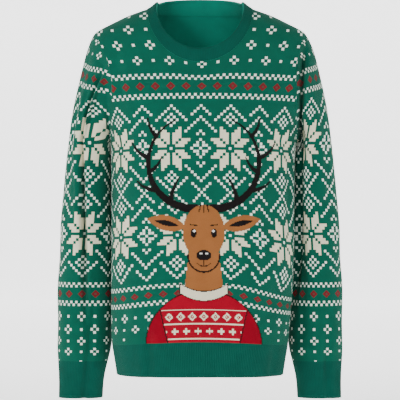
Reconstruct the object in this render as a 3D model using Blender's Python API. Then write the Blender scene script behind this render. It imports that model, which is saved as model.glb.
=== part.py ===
"""Crew-neck jacquard sweater, hollow and hanging as it is worn.

Metres, +Z up, the front faces -Y, the origin is midway between the two neck
points of the shoulders. Every piece is a closed wall of its own knit: front,
back, two set-in sleeves, neckband, two hem welts and two cuffs.
"""
import math

import bpy
import numpy as np

# ---- driving sizes -------------------------------------------------------
SEAM_GAP = 0.0003          # clearance between two linked pieces
JERSEY = 0.0022            # wall of the jacquard panels
RIB = 0.0028               # wall of the single ribs
NECK_RIB = 0.0034          # wall of the folded neckband
SQUARENESS = 2.5           # exponent of the rounded body sections

NECK_Z = 0.0               # level of the neck points
NECK_TIP_Z = -0.0015       # where the panels end beside them
SHOULDER_Z = -0.041        # level of the shoulder points
ARMPIT_Z = -0.240
HEM_TOP_Z = -0.588         # at centre front, as is the next
HEM_Z = -0.650
SLEEVE_TOP_Z = -0.252      # where the sleeve cap has become a tube
CUFF_TOP_Z = -0.634
CUFF_Z = -0.702

NECK_HALF = 0.0935         # neck point to centre
NECK_DROP = 0.1020         # front neckline below the neck points
NECK_ROUND = 2.0           # exponent of the front neckline
NECK_CORNER = 0.060        # where the neckline turns from floor to side
NECK_SAG_Z = -0.145        # level below which the knit rows lie straight
BAND_WIDTH = 0.0225        # neckband, seam to fold
BAND_LIFT = 0.10           # how far its top curls up past its lean
BAND_CENTRE_Y = 0.005      # the neckband leans in towards this line
BAND_LEAN_DEG = {"side": 27.0, "front": 74.0, "back": 68.0}  # from the level
BAND_TRUST = 6.0           # how far that lean outweighs the body's own slope
BAND_EASING = 6            # rounds of evening it out round the neck

SLEEVE_CLEARANCE = 0.0028  # between a sleeve and the body's side
FORWARD = -1               # sign of y on the front
BACKWARD = 1               # sign of y on the back

# ---- sections ------------------------------------------------------------
# Body sections from the neck points down to the hem.
BODY_COLUMNS = ("z", "half_width", "front_depth", "back_depth")
BODY = (
    (0.000, 0.0935, 0.062, 0.076),
    (-0.0135, 0.1310, 0.071, 0.084),
    (-0.027, 0.1590, 0.079, 0.090),
    (-0.041, 0.1850, 0.085, 0.095),
    (-0.062, 0.2060, 0.091, 0.100),
    (-0.092, 0.2160, 0.099, 0.105),
    (-0.120, 0.2100, 0.105, 0.109),
    (-0.162, 0.1890, 0.112, 0.112),
    (-0.205, 0.1695, 0.116, 0.112),
    (-0.240, 0.1642, 0.118, 0.111),
    (-0.300, 0.1625, 0.119, 0.109),
    (-0.400, 0.1615, 0.118, 0.107),
    (-0.500, 0.1610, 0.117, 0.106),
    (-0.550, 0.1600, 0.114, 0.105),
    (-0.588, 0.1580, 0.109, 0.102),
    (-0.620, 0.1535, 0.104, 0.099),
    (-0.650, 0.1495, 0.100, 0.096),
)

# How much lower the knit rows hang at the sides than at the centre.
SAG_COLUMNS = ("z", "sag")
SAG = (
    (-0.240, 0.0),
    (-0.300, 0.0040),
    (-0.400, 0.0080),
    (-0.475, 0.0105),
    (-0.588, 0.0110),
    (-0.650, 0.0030),
)

# Armhole edge: how far from the centre the front and back panels end.
ARMHOLE_COLUMNS = ("z", "half_width")
ARMHOLE = (
    (-0.041, 0.1850),
    (-0.062, 0.1785),
    (-0.092, 0.1665),
    (-0.120, 0.1605),
    (-0.162, 0.1590),
    (-0.205, 0.1608),
    (-0.240, 0.1642),
)

# Sleeve and cuff sections, on the wearer's either side, mirrored.
ARM_COLUMNS = ("z", "centre_x", "centre_y", "half_width", "half_depth")
ARM = (
    (-0.252, 0.2005, 0.024, 0.0395, 0.0640),
    (-0.320, 0.2040, 0.030, 0.0435, 0.0590),
    (-0.414, 0.2070, 0.037, 0.0480, 0.0520),
    (-0.500, 0.2090, 0.042, 0.0500, 0.0470),
    (-0.580, 0.2110, 0.044, 0.0495, 0.0420),
    (-0.615, 0.2120, 0.044, 0.0480, 0.0370),
    (-0.634, 0.2135, 0.044, 0.0455, 0.0320),
    (-0.665, 0.2160, 0.044, 0.0420, 0.0275),
    (-0.702, 0.2182, 0.044, 0.0398, 0.0248),
)
ARM_SQUARENESS = 2.2

# Largest folds of a sleeve: place round the arm, where it runs, how deep.
FOLD_COLUMNS = ("turn_deg", "top_z", "bottom_z", "depth", "half_turn_deg")
SLEEVE_FOLDS = (
    (42.0, -0.130, -0.540, 0.0050, 11.0),
    (222.0, -0.300, -0.560, 0.0040, 12.0),
    (318.0, -0.160, -0.470, 0.0040, 12.0),
)

# Mesh counts.
BODY_ROWS = 11
ARMHOLE_ROWS = 11
SHOULDER_ROWS = 4
SIDE_COLUMNS = 7
CENTRE_COLUMNS = 8
CAP_RINGS = 6
ARM_RINGS = 11
RIB_ROWS = 3
BAND_ROWS = 3

GREEN = (0.004, 0.145, 0.092, 1.0)
RIB_GREEN = (0.006, 0.110, 0.072, 1.0)
WOOL_ROUGHNESS = 0.92


# ---- reading the tables --------------------------------------------------
def read(table, columns, name, z):
    """A smooth value of one column at level z, through the table's rows."""
    column = columns.index(name)
    levels = np.array([row[0] for row in table])[::-1]
    values = np.array([row[column] for row in table])[::-1]
    slopes = np.gradient(values, levels)
    z = np.clip(z, levels[0], levels[-1])
    low = np.clip(np.searchsorted(levels, z) - 1, 0, len(levels) - 2)
    span = levels[low + 1] - levels[low]
    t = (z - levels[low]) / span
    start = (1 + 2 * t) * (1 - t) ** 2 * values[low]
    start = start + t * (1 - t) ** 2 * span * slopes[low]
    end = t * t * (3 - 2 * t) * values[low + 1]
    return start + end + t * t * (t - 1) * span * slopes[low + 1]


def body(name, z):
    return read(BODY, BODY_COLUMNS, name, z)


def depth_of(side, z):
    return body("front_depth" if side == FORWARD else "back_depth", z)


def body_half_width(y, z):
    """Half-width of the body where a sleeve passes it."""
    depth = body("front_depth", z) if y < 0 else body("back_depth", z)
    inside = max(0.0, 1 - abs(y / depth) ** SQUARENESS)
    return body("half_width", z) * inside ** (1 / SQUARENESS)


def body_normal(x, y, z, side):
    """Outward direction of the body's surface."""
    step = 0.001
    width, depth = body("half_width", z), depth_of(side, z)
    width_slope = (body("half_width", z + step) - body("half_width", z - step)) / (2 * step)
    depth_slope = (depth_of(side, z + step) - depth_of(side, z - step)) / (2 * step)
    across = abs(x / width) ** (SQUARENESS - 1) / width
    along = abs(y / depth) ** (SQUARENESS - 1) / depth
    up = -across * abs(x) / width * width_slope - along * abs(y) / depth * depth_slope
    normal = np.array([math.copysign(across, x), side * along, up])
    return normal / np.linalg.norm(normal)


def body_arc(z, side, count=160):
    """Distances and points along a quarter section, centre to side."""
    turn = np.linspace(0, math.pi / 2, count)
    x = body("half_width", z) * np.sin(turn) ** (2 / SQUARENESS)
    y = depth_of(side, z) * np.abs(np.cos(turn)) ** (2 / SQUARENESS)
    steps = np.hypot(np.diff(x), np.diff(y))
    return np.concatenate([[0], np.cumsum(steps)]), x, side * y


def body_point(x, z, side):
    """The point of the body's surface straight in front of or behind (x, z)."""
    width = body("half_width", z)
    inside = max(0.0, 1 - min(1.0, abs(x) / width) ** SQUARENESS)
    return np.array([x, side * depth_of(side, z) * inside ** (1 / SQUARENESS), z])


def hang(point):
    """The same point where the rows hang lower towards the sides."""
    x, y, z = point
    sag = float(read(SAG, SAG_COLUMNS, "sag", z))
    return np.array([x, y, z - sag * (x / body("half_width", z)) ** 2])


def edge_half_width(z):
    """Where a panel ends: side seam, armhole or shoulder seam."""
    if ARMPIT_Z < z < SHOULDER_Z:
        return float(read(ARMHOLE, ARMHOLE_COLUMNS, "half_width", z))
    return float(body("half_width", z))


def neckline_z(x):
    inside = max(0.0, 1 - abs(x / NECK_HALF) ** NECK_ROUND)
    return NECK_Z - NECK_DROP * inside ** (1 / NECK_ROUND)


def neckline_x(z):
    inside = max(0.0, 1 - abs((z - NECK_Z) / NECK_DROP) ** NECK_ROUND)
    return NECK_HALF * inside ** (1 / NECK_ROUND)


# ---- mesh helpers --------------------------------------------------------
def material(name, colour):
    shade = bpy.data.materials.new(name)
    shade.use_nodes = True
    node = shade.node_tree.nodes["Principled BSDF"]
    node.inputs["Base Color"].default_value = colour
    node.inputs["Roughness"].default_value = WOOL_ROUGHNESS
    node.inputs["Metallic"].default_value = 0.0
    return shade


def vertex_normals(points, quads):
    normals = np.zeros_like(points)
    for quad in quads:
        a, b, c, d = (points[i] for i in quad)
        normal = np.cross(c - a, d - b)
        for i in quad:
            normals[i] += normal
    return normals / np.linalg.norm(normals, axis=1)[:, None]


def make_wall(name, points, normals, quads, thickness, colour):
    """One closed wall: the outer face, the inner face and the cut edges."""
    count = len(points)
    vertices = np.vstack([points, points - normals * thickness])
    faces = [tuple(quad) for quad in quads]
    faces += [tuple(i + count for i in reversed(quad)) for quad in quads]
    used = {edge for quad in quads for edge in zip(quad, quad[1:] + quad[:1])}
    for a, b in sorted(used):
        if (b, a) not in used:
            faces.append((b, a, a + count, b + count))
    mesh = bpy.data.meshes.new(name)
    mesh.from_pydata([tuple(v) for v in vertices], [], faces)
    mesh.validate()
    mesh.shade_smooth()
    mesh.set_sharp_from_angle(angle=math.radians(50))
    mesh.materials.append(material(name + "_wool", colour))
    piece = bpy.data.objects.new(name, mesh)
    bpy.context.scene.collection.objects.link(piece)
    return piece


def grid_quads(rows, columns, closed, turned):
    """Quads of a grid whose points run row by row."""
    quads = []
    for row in range(rows - 1):
        for column in range(columns if closed else columns - 1):
            after = (column + 1) % columns
            quad = (row * columns + column, row * columns + after,
                    (row + 1) * columns + after, (row + 1) * columns + column)
            quads.append(tuple(reversed(quad)) if turned else quad)
    return quads


# ---- levels shared by the panels and the sleeves -------------------------
def body_levels():
    return list(np.linspace(HEM_TOP_Z + SEAM_GAP, ARMPIT_Z, BODY_ROWS))


def armhole_levels():
    """Close together at the armpit and at the shoulder, where the edge turns."""
    turn = np.linspace(0, math.pi, ARMHOLE_ROWS + 1)[1:]
    levels = list(ARMPIT_Z + (SHOULDER_Z - ARMPIT_Z) * (1 - np.cos(turn)) / 2)
    corner = neckline_z(NECK_CORNER)
    levels[int(np.argmin([abs(z - corner) for z in levels]))] = corner
    return levels


def shoulder_levels():
    return list(np.linspace(SHOULDER_Z, NECK_TIP_Z, SHOULDER_ROWS + 1)[1:])


# ---- front and back panels -----------------------------------------------
def row_points(z, side, places, seam=SEAM_GAP / 2):
    """Points of one knit row; places are fractions, edge to edge, -1 to 1."""
    arc, x, y = body_arc(z, side)
    end = np.interp(edge_half_width(z), x, arc) - seam
    reach = np.abs(places) * end
    return np.sign(places) * np.interp(reach, arc, x), np.interp(reach, arc, y)


def back_panel():
    """Rows run edge to edge up to the back neckline, whose points it gives."""
    levels = body_levels() + armhole_levels() + shoulder_levels()
    places = np.linspace(-1, 1, 2 * SIDE_COLUMNS + CENTRE_COLUMNS + 1)
    points, normals = [], []
    for z in levels:
        for x, y in zip(*row_points(z, BACKWARD, places)):
            points.append(hang((x, y, z)))
            normals.append(body_normal(x, y, z, BACKWARD))
    quads = grid_quads(len(levels), len(places), closed=False, turned=True)
    make_wall("back_panel", np.array(points), np.array(normals), quads, JERSEY, GREEN)
    return [(np.array(point), BACKWARD) for point in points[-len(places):]]


def front_panel():
    """Below the neck the rows run edge to edge; above it they leave it open.
    It gives the points of the front neckline, right to left."""
    corner_z = neckline_z(NECK_CORNER)
    levels = body_levels() + armhole_levels() + shoulder_levels()
    nearest = levels.index(corner_z)
    points, normals, quads, rows = [], [], [], []
    right, left = [], []
    for level, z in enumerate(levels):
        arc, xs, _ = body_arc(z, FORWARD)
        end = np.interp(edge_half_width(z), xs, arc) - SEAM_GAP / 2
        inner_x = NECK_CORNER if level <= nearest else neckline_x(z)
        inner = min(np.interp(inner_x, xs, arc), end - SEAM_GAP)
        side = np.linspace(end, inner, SIDE_COLUMNS + 1)
        centre = np.linspace(inner, -inner, CENTRE_COLUMNS + 1)[1:-1]
        reach = np.concatenate([side, centre if level <= nearest else [], -side[::-1]])
        weight = np.clip((z - NECK_SAG_Z) / (corner_z - NECK_SAG_Z), 0, 1)
        row = []
        for s in reach:
            x = math.copysign(np.interp(abs(s), arc, xs), s)
            drop = 0.0
            if level <= nearest and abs(x) < NECK_CORNER:
                drop = weight * (corner_z - neckline_z(x))
            point = body_point(x, z - drop, FORWARD) if drop else np.array(
                [x, np.interp(abs(s), arc, body_arc(z, FORWARD)[2]), z])
            row.append(len(points))
            points.append(hang(point))
            normals.append(body_normal(*point, FORWARD))
        rows.append(row)
        if level == nearest:
            floor = [points[i] for i in row[SIDE_COLUMNS:-SIDE_COLUMNS]]
        elif level > nearest:
            right.append(points[row[SIDE_COLUMNS]])
            left.append(points[row[SIDE_COLUMNS + 1]])
    strip = SIDE_COLUMNS + 1
    for low, high in zip(rows, rows[1:]):
        if len(low) == len(high):
            runs = [(low, high)]
            if len(low) == 2 * strip:
                runs = [(low[:strip], high[:strip]), (low[strip:], high[strip:])]
        else:
            runs = [(low[:strip], high[:strip]), (low[-strip:], high[strip:])]
        for lower, upper in runs:
            for column in range(len(lower) - 1):
                quads.append((lower[column + 1], lower[column],
                              upper[column], upper[column + 1]))
    make_wall("front_panel", np.array(points), np.array(normals), quads, JERSEY, GREEN)
    return [(point, FORWARD) for point in right[::-1] + floor + left]


# ---- sleeves and cuffs ---------------------------------------------------
def arm(name, z):
    return float(read(ARM, ARM_COLUMNS, name, z))


def fold_depth(turn, z):
    """How far the sleeve's wall is pressed in at a place round the arm."""
    total = 0.0
    for turn_deg, top, bottom, depth, half_turn in SLEEVE_FOLDS:
        if bottom < z < top:
            along = math.sin(math.pi * (z - bottom) / (top - bottom)) ** 0.7
            away = (math.degrees(turn) - turn_deg + 180) % 360 - 180
            total += depth * along * math.exp(-(away / half_turn) ** 2)
    return total


def arm_point(turn, z):
    """A point of the right sleeve: 0 outside, a quarter in front, a half inside."""
    power = 2 / ARM_SQUARENESS
    across = math.copysign(abs(math.cos(turn)) ** power, math.cos(turn))
    forward = math.copysign(abs(math.sin(turn)) ** power, math.sin(turn))
    press = fold_depth(turn, z)
    x = arm("centre_x", z) + (arm("half_width", z) - press) * across
    y = arm("centre_y", z) - (arm("half_depth", z) - press) * forward
    return np.array([max(x, body_half_width(y, z) + SLEEVE_CLEARANCE), y, z])


def armhole_ring():
    """Seam points round the right armhole, from the armpit up the front."""
    levels = [ARMPIT_Z] + armhole_levels()
    ring = []
    for z in levels:
        ring.append((body_point(edge_half_width(z), z, FORWARD), FORWARD))
    for z in reversed(levels[1:-1]):
        ring.append((body_point(edge_half_width(z), z, BACKWARD), BACKWARD))
    return ring


def cap_rings():
    """The sleeve cap: each line leaves the armhole along the body's surface
    and bends down into the tube of the sleeve."""
    ring = armhole_ring()
    seam = np.array([point for point, _ in ring])
    count = len(seam)
    steps = np.linalg.norm(np.roll(seam, -1, axis=0) - seam, axis=1)
    travelled = np.concatenate([[0], np.cumsum(steps)[:-1]]) / steps.sum()
    turns = math.pi - 2 * math.pi * travelled
    tangents = np.roll(seam, -1, axis=0) - np.roll(seam, 1, axis=0)
    rings = [[] for _ in range(CAP_RINGS + 1)]
    seam_normals = []
    for index in range(count):
        start, side = ring[index]
        normal = body_normal(*start, side)
        outward = np.cross(tangents[index], normal)
        outward /= np.linalg.norm(outward)
        start = start + outward * SEAM_GAP
        end = arm_point(turns[index], SLEEVE_TOP_Z)
        drop = start[2] - SLEEVE_TOP_Z
        leave = 0.008 + 0.055 * drop
        arrive = 0.008 + 0.45 * drop
        below = arm_point(turns[index], SLEEVE_TOP_Z - 0.02)
        along = (end - below) / np.linalg.norm(end - below)
        first, second = start + outward * leave, end + along * arrive
        for ring_index in range(CAP_RINGS + 1):
            t = ring_index / CAP_RINGS
            point = (1 - t) ** 3 * start + 3 * t * (1 - t) ** 2 * first
            point = point + 3 * t * t * (1 - t) * second + t ** 3 * end
            rings[ring_index].append(point)
        seam_normals.append(normal)
    return rings, turns, seam_normals


def mirrored(points, normals, quads):
    flip = np.array([-1, 1, 1])
    return points * flip, normals * flip, [tuple(reversed(q)) for q in quads]


def make_pair(names, points, normals, quads, thickness, colour):
    """The same piece on both sides: as modelled on the right, mirrored on the left."""
    make_wall(names[1], points, normals, quads, thickness, colour)
    make_wall(names[0], *mirrored(points, normals, quads), thickness, colour)


def sleeves():
    rings, turns, seam_normals = cap_rings()
    for z in np.linspace(SLEEVE_TOP_Z, CUFF_TOP_Z + SEAM_GAP, ARM_RINGS + 1)[1:]:
        rings.append([arm_point(turn, z) for turn in turns])
    points = np.array([point for ring in rings for point in ring])
    quads = grid_quads(len(rings), len(turns), closed=True, turned=False)
    normals = vertex_normals(points, quads)
    if normals[len(turns) * (CAP_RINGS + 2)] @ np.array([-1, 0, 0]) < 0:
        quads = [tuple(reversed(quad)) for quad in quads]
        normals = -normals
    normals[:len(turns)] = np.array(seam_normals)
    make_pair(("sleeve_left", "sleeve_right"), points, normals, quads, JERSEY, GREEN)
    return turns


def cuffs(turns):
    points = []
    for z in np.linspace(CUFF_TOP_Z, CUFF_Z, RIB_ROWS + 1):
        points += [arm_point(turn, z) for turn in turns]
    points = np.array(points)
    quads = grid_quads(RIB_ROWS + 1, len(turns), closed=True, turned=False)
    normals = vertex_normals(points, quads)
    if normals[0] @ np.array([-1, 0, 0]) < 0:
        quads = [tuple(reversed(quad)) for quad in quads]
        normals = -normals
    make_pair(("cuff_left", "cuff_right"), points, normals, quads, RIB, RIB_GREEN)


# ---- hem welts and neckband ----------------------------------------------
def hem_rib(name, side):
    levels = np.linspace(HEM_Z, HEM_TOP_Z, RIB_ROWS + 1)
    places = np.linspace(-1, 1, 2 * SIDE_COLUMNS + CENTRE_COLUMNS + 1)
    points, normals = [], []
    for z in levels:
        for x, y in zip(*row_points(z, side, places)):
            points.append(hang((x, y, z)))
            normals.append(body_normal(x, y, z, side))
    quads = grid_quads(len(levels), len(places), closed=False, turned=side == BACKWARD)
    make_wall(name, np.array(points), np.array(normals), quads, RIB, RIB_GREEN)


def band_lean(seam):
    """The way the neckband stands at each point: inwards and up."""
    inward = np.array([0, BAND_CENTRE_Y, 0]) - seam * np.array([1, 1, 0])
    inward /= np.linalg.norm(inward, axis=1)[:, None]
    side = BAND_LEAN_DEG["side"]
    end = np.where(inward[:, 1] > 0, BAND_LEAN_DEG["front"], BAND_LEAN_DEG["back"])
    lean = np.radians(side + (end - side) * np.abs(inward[:, 1]) ** 1.5)
    up = np.array([0, 0, 1])
    return inward * np.cos(lean)[:, None] + up * np.sin(lean)[:, None]


def neck_rib(ring):
    seam = np.array([point for point, _ in ring])
    normals = np.array([body_normal(*point, side) for point, side in ring])
    tangents = np.roll(seam, -1, axis=0) - np.roll(seam, 1, axis=0)
    lean = band_lean(seam)
    rise = np.cross(normals, tangents)
    rise /= np.linalg.norm(rise, axis=1)[:, None]
    rise *= np.sign(np.sum(rise * lean, axis=1))[:, None]
    rise += BAND_TRUST * lean
    for _ in range(BAND_EASING):
        rise = (np.roll(rise, 1, axis=0) + 2 * rise + np.roll(rise, -1, axis=0)) / 4
        rise /= np.linalg.norm(rise, axis=1)[:, None]
    proud = (NECK_RIB - JERSEY) / 2
    points = []
    for row in range(BAND_ROWS + 1):
        t = row / BAND_ROWS
        place = seam + normals * proud + rise * (SEAM_GAP + BAND_WIDTH * t)
        place = place + np.array([0, 0, 1]) * (BAND_LIFT * BAND_WIDTH * t * t)
        points.append(place)
    points = np.vstack(points)
    quads = grid_quads(BAND_ROWS + 1, len(seam), closed=True, turned=False)
    wall = vertex_normals(points, quads)
    if wall[len(seam) // 4] @ np.array([0, -1, 0]) < 0:
        quads = [tuple(reversed(quad)) for quad in quads]
        wall = -wall
    wall[:len(seam)] = normals
    make_wall("neck_rib", points, wall, quads, NECK_RIB, RIB_GREEN)


for old in list(bpy.data.objects):
    bpy.data.objects.remove(old)
neckline = front_panel() + back_panel()
cuffs(sleeves())
hem_rib("hem_rib_front", FORWARD)
hem_rib("hem_rib_back", BACKWARD)
neck_rib(neckline)
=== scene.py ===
"""A worn crew-neck jacquard sweater with a reindeer front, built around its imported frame."""

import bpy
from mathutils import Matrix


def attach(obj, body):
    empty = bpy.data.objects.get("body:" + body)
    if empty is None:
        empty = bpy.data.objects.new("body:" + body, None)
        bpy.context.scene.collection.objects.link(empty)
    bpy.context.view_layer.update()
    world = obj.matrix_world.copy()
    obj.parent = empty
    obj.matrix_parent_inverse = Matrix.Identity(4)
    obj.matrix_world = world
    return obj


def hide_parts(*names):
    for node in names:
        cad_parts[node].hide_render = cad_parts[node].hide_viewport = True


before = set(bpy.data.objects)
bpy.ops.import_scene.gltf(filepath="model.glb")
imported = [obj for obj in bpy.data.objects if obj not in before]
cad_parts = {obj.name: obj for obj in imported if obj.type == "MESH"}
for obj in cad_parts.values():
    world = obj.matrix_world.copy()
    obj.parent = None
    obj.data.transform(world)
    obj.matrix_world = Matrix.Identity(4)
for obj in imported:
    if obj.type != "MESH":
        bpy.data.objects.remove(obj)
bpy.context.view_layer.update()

import math

import bpy
import numpy as np
from mathutils import Vector

# ==== Room, light and camera ==============================================
# A pale floor that runs up into its wall, a soft light high on the left, a weaker and wider one
# beside the lens, and a long lens level with the middle of the sweater.
LEVEL = -0.342             # height of the lens
LENS_AWAY = 2.70           # lens to the sweater's middle
SEEN_HEIGHT = 0.72         # what the frame holds at the sweater's middle
FLOOR_Z = -0.86
FLOOR_RADIUS, COVE_RADIUS, WALL_TOP = 5.0, 1.6, 5.0
COVE_STEPS, COVE_SIDES = 12, 96
GLOW_FAR, GLOW_NEAR = 1.60, 0.10           # how the wall glows, beyond the sweater and by the lens
GLOW_REACH = 2.0
WALL_GREY = 0.93
AIR_LIGHT = 0.24


def dyed(red, green, blue):
    """A colour given as it is seen, turned into the light it reflects."""
    linear = []
    for value in (red / 255, green / 255, blue / 255):
        linear.append(value / 12.92 if value <= 0.04045 else ((value + 0.055) / 1.055) ** 2.4)
    return (*linear, 1.0)


def set_inputs(node, **values):
    """Set a node's inputs; a name's underscores stand for its spaces."""
    for name, value in values.items():
        node.inputs[name.replace("_", " ")].default_value = value


def round_cove():
    """A floor that curves up into a pale wall all round."""
    profile = [(0.0, FLOOR_Z), (FLOOR_RADIUS, FLOOR_Z)]
    for step in range(1, COVE_STEPS + 1):
        turn = math.pi / 2 * step / COVE_STEPS
        profile.append((FLOOR_RADIUS + COVE_RADIUS * math.sin(turn),
                        FLOOR_Z + COVE_RADIUS * (1 - math.cos(turn))))
    profile.append((FLOOR_RADIUS + COVE_RADIUS, WALL_TOP))
    count = COVE_SIDES
    points = [(0.0, 0.0, FLOOR_Z)]
    for radius, z in profile[1:]:
        for index in range(count):
            turn = 2 * math.pi * index / count
            points.append((radius * math.cos(turn), radius * math.sin(turn), z))
    faces = [(0, 1 + i, 1 + (i + 1) % count) for i in range(count)]
    for ring in range(len(profile) - 2):
        low, high = 1 + ring * count, 1 + (ring + 1) * count
        faces += [(low + i, high + i, high + (i + 1) % count, low + (i + 1) % count)
                  for i in range(count)]
    mesh = bpy.data.meshes.new("studio_cove")
    mesh.from_pydata(points, [], faces)
    mesh.shade_smooth()
    cove = bpy.data.objects.new("studio_cove", mesh)
    bpy.context.scene.collection.objects.link(cove)
    paint = bpy.data.materials.new("studio_white")
    paint.use_nodes = True
    tree = paint.node_tree
    shade = tree.nodes["Principled BSDF"]
    set_inputs(shade, Base_Color=(WALL_GREY, WALL_GREY, WALL_GREY, 1), Roughness=0.9,
               Emission_Color=(1, 1, 1, 1))
    place = tree.nodes.new("ShaderNodeTexCoord")
    split = tree.nodes.new("ShaderNodeSeparateXYZ")
    glow = tree.nodes.new("ShaderNodeMapRange")
    set_inputs(glow, From_Min=-GLOW_REACH, From_Max=GLOW_REACH, To_Min=GLOW_NEAR, To_Max=GLOW_FAR)
    tree.links.new(place.outputs["Object"], split.inputs[0])
    tree.links.new(split.outputs["Y"], glow.inputs["Value"])
    tree.links.new(glow.outputs["Result"], shade.inputs["Emission Strength"])
    mesh.materials.append(paint)


def soft_light(name, place, size, power):
    lamp = bpy.data.lights.new(name, "AREA")
    lamp.shape = "DISK"
    lamp.size = size
    lamp.energy = power
    light = bpy.data.objects.new(name, lamp)
    light.location = place
    aim = Vector((0, 0, LEVEL)) - Vector(place)
    light.rotation_euler = aim.to_track_quat("-Z", "Y").to_euler()
    bpy.context.scene.collection.objects.link(light)


round_cove()
soft_light("key_light", (-1.5, -2.3, 0.8), 0.7, 43)
soft_light("fill_light", (0.35, -3.0, -0.1), 1.0, 11)
world = bpy.data.worlds.new("studio_air")
world.use_nodes = True
set_inputs(world.node_tree.nodes["Background"], Color=(1, 1, 1, 1), Strength=AIR_LIGHT)
bpy.context.scene.world = world

lens = bpy.data.cameras.new("camera")
lens.sensor_width = 36
lens.lens = 36 * LENS_AWAY / SEEN_HEIGHT
camera = bpy.data.objects.new("camera", lens)
camera.location = (0, -LENS_AWAY, LEVEL)
camera.rotation_euler = (math.pi / 2, 0, 0)
bpy.context.scene.collection.objects.link(camera)
bpy.context.scene.camera = camera

# ==== Front panel =========================================================
# Fine jacquard knit in one piece, neckline and armholes shaped on the needles:
# green ground with cream stars and red bands, and a reindeer worked in.
SEAM_GAP = 0.0001
JERSEY = 0.0022
SQUARENESS = 2.5
FORWARD, BACKWARD = -1, 1
SHOULDER_Z, ARMPIT_Z = -0.041, -0.240
HEM_TOP_Z, HEM_Z = -0.588, -0.650
NECK_TIP_Z = -0.0015
NECK_HALF, NECK_DROP, NECK_CORNER, NECK_SAG_Z = 0.0935, 0.1020, 0.060, -0.145

BODY_COLUMNS = ("z", "half_width", "front_depth", "back_depth")
BODY = (
    (0.000, 0.0935, 0.062, 0.076), (-0.0135, 0.1310, 0.071, 0.084),
    (-0.027, 0.1590, 0.079, 0.090), (-0.041, 0.1850, 0.085, 0.095),
    (-0.062, 0.2060, 0.091, 0.100), (-0.092, 0.2160, 0.099, 0.105),
    (-0.120, 0.2100, 0.105, 0.109), (-0.162, 0.1890, 0.112, 0.112),
    (-0.205, 0.1695, 0.116, 0.112), (-0.240, 0.1642, 0.118, 0.111),
    (-0.300, 0.1625, 0.119, 0.109), (-0.400, 0.1615, 0.118, 0.107),
    (-0.500, 0.1610, 0.117, 0.106), (-0.550, 0.1600, 0.114, 0.105),
    (-0.588, 0.1580, 0.109, 0.102), (-0.620, 0.1535, 0.104, 0.099),
    (-0.650, 0.1495, 0.100, 0.096),
)
SAG_COLUMNS = ("z", "sag")
SAG = ((-0.240, 0.0), (-0.300, 0.0040), (-0.400, 0.0080), (-0.475, 0.0105),
       (-0.588, 0.0110), (-0.650, 0.0030))
ARMHOLE_COLUMNS = ("z", "half_width")
ARMHOLE = ((-0.041, 0.1850), (-0.062, 0.1785), (-0.092, 0.1665), (-0.120, 0.1605),
           (-0.162, 0.1590), (-0.205, 0.1608), (-0.240, 0.1642))

# Charted rows, counted down from the tips of the upper chevrons.
ROW_COLUMNS = ("z", "row")
ROWS = (
    (0.000, -35.0), (-0.0178, -31.0), (-0.0434, -26.0), (-0.0716, -21.0),
    (-0.0991, -16.0), (-0.1268, -10.5), (-0.1443, -7.0), (-0.1620, -3.5),
    (-0.1790, 0.0), (-0.2528, 15.0), (-0.3036, 25.0), (-0.4020, 45.0),
    (-0.4491, 55.0), (-0.4754, 60.0), (-0.4878, 63.5), (-0.5022, 67.0),
    (-0.5160, 70.5), (-0.5387, 75.0), (-0.5600, 79.0), (-0.5780, 83.0),
    (-0.5900, 85.2),
)
# Width of a charted column, how far the columns crowd to the centre, and how far
# the whole chart hangs to the right.
PITCH_COLUMNS = ("z", "pitch", "crowding", "drift")
PITCH = (
    (0.000, 0.00680, 0.0, 0.0), (-0.0434, 0.00635, 0.0, 0.0), (-0.0716, 0.00590, 0.0, 0.001),
    (-0.0991, 0.00563, 0.0, 0.003), (-0.1443, 0.00537, 0.0, 0.003),
    (-0.1790, 0.00515, 0.0, 0.002), (-0.2300, 0.00511, 0.0, 0.001),
    (-0.3300, 0.00515, 0.4, 0.003), (-0.3800, 0.00543, 1.5, 0.006),
    (-0.4200, 0.00560, 2.0, 0.007), (-0.4600, 0.00555, 1.6, 0.007),
    (-0.5020, 0.00535, 1.9, 0.006), (-0.5900, 0.00515, 2.1, 0.003),
)
# How steeply the rows fall away beyond the figure, on either side.
FALL_COLUMNS = ("z", "right", "left")
FALL = (
    (-0.250, 0.0, 0.0), (-0.310, 0.02, 0.0), (-0.405, 0.095, 0.0), (-0.500, 0.215, 0.058),
    (-0.545, 0.120, 0.040), (-0.588, 0.0, 0.0),
)
FALL_FROM, FALL_EASE = 0.062, 0.012
# How far the seams between body and sleeves hang to the right.
HANG_COLUMNS = ("z", "right", "left")
HANG = ((-0.050, 0.0, 0.0), (-0.100, 0.0070, 0.0030), (-0.300, 0.0075, 0.0030),
        (-0.480, 0.0060, 0.0020), (-0.585, 0.0, 0.0))
HANG_AT, HANG_WIDTH = 0.162, 0.035
CHART_HANG = 1.25          # how much further the chart goes than its seam
CROWD_REACH = 0.025
ROW_DIP = 0.0046           # how much lower a row lies at the side of the chest
NECK_PULL, PULL_WIDTH = 0.0085, 0.034      # how far the neckline draws the rows down, and where

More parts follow.
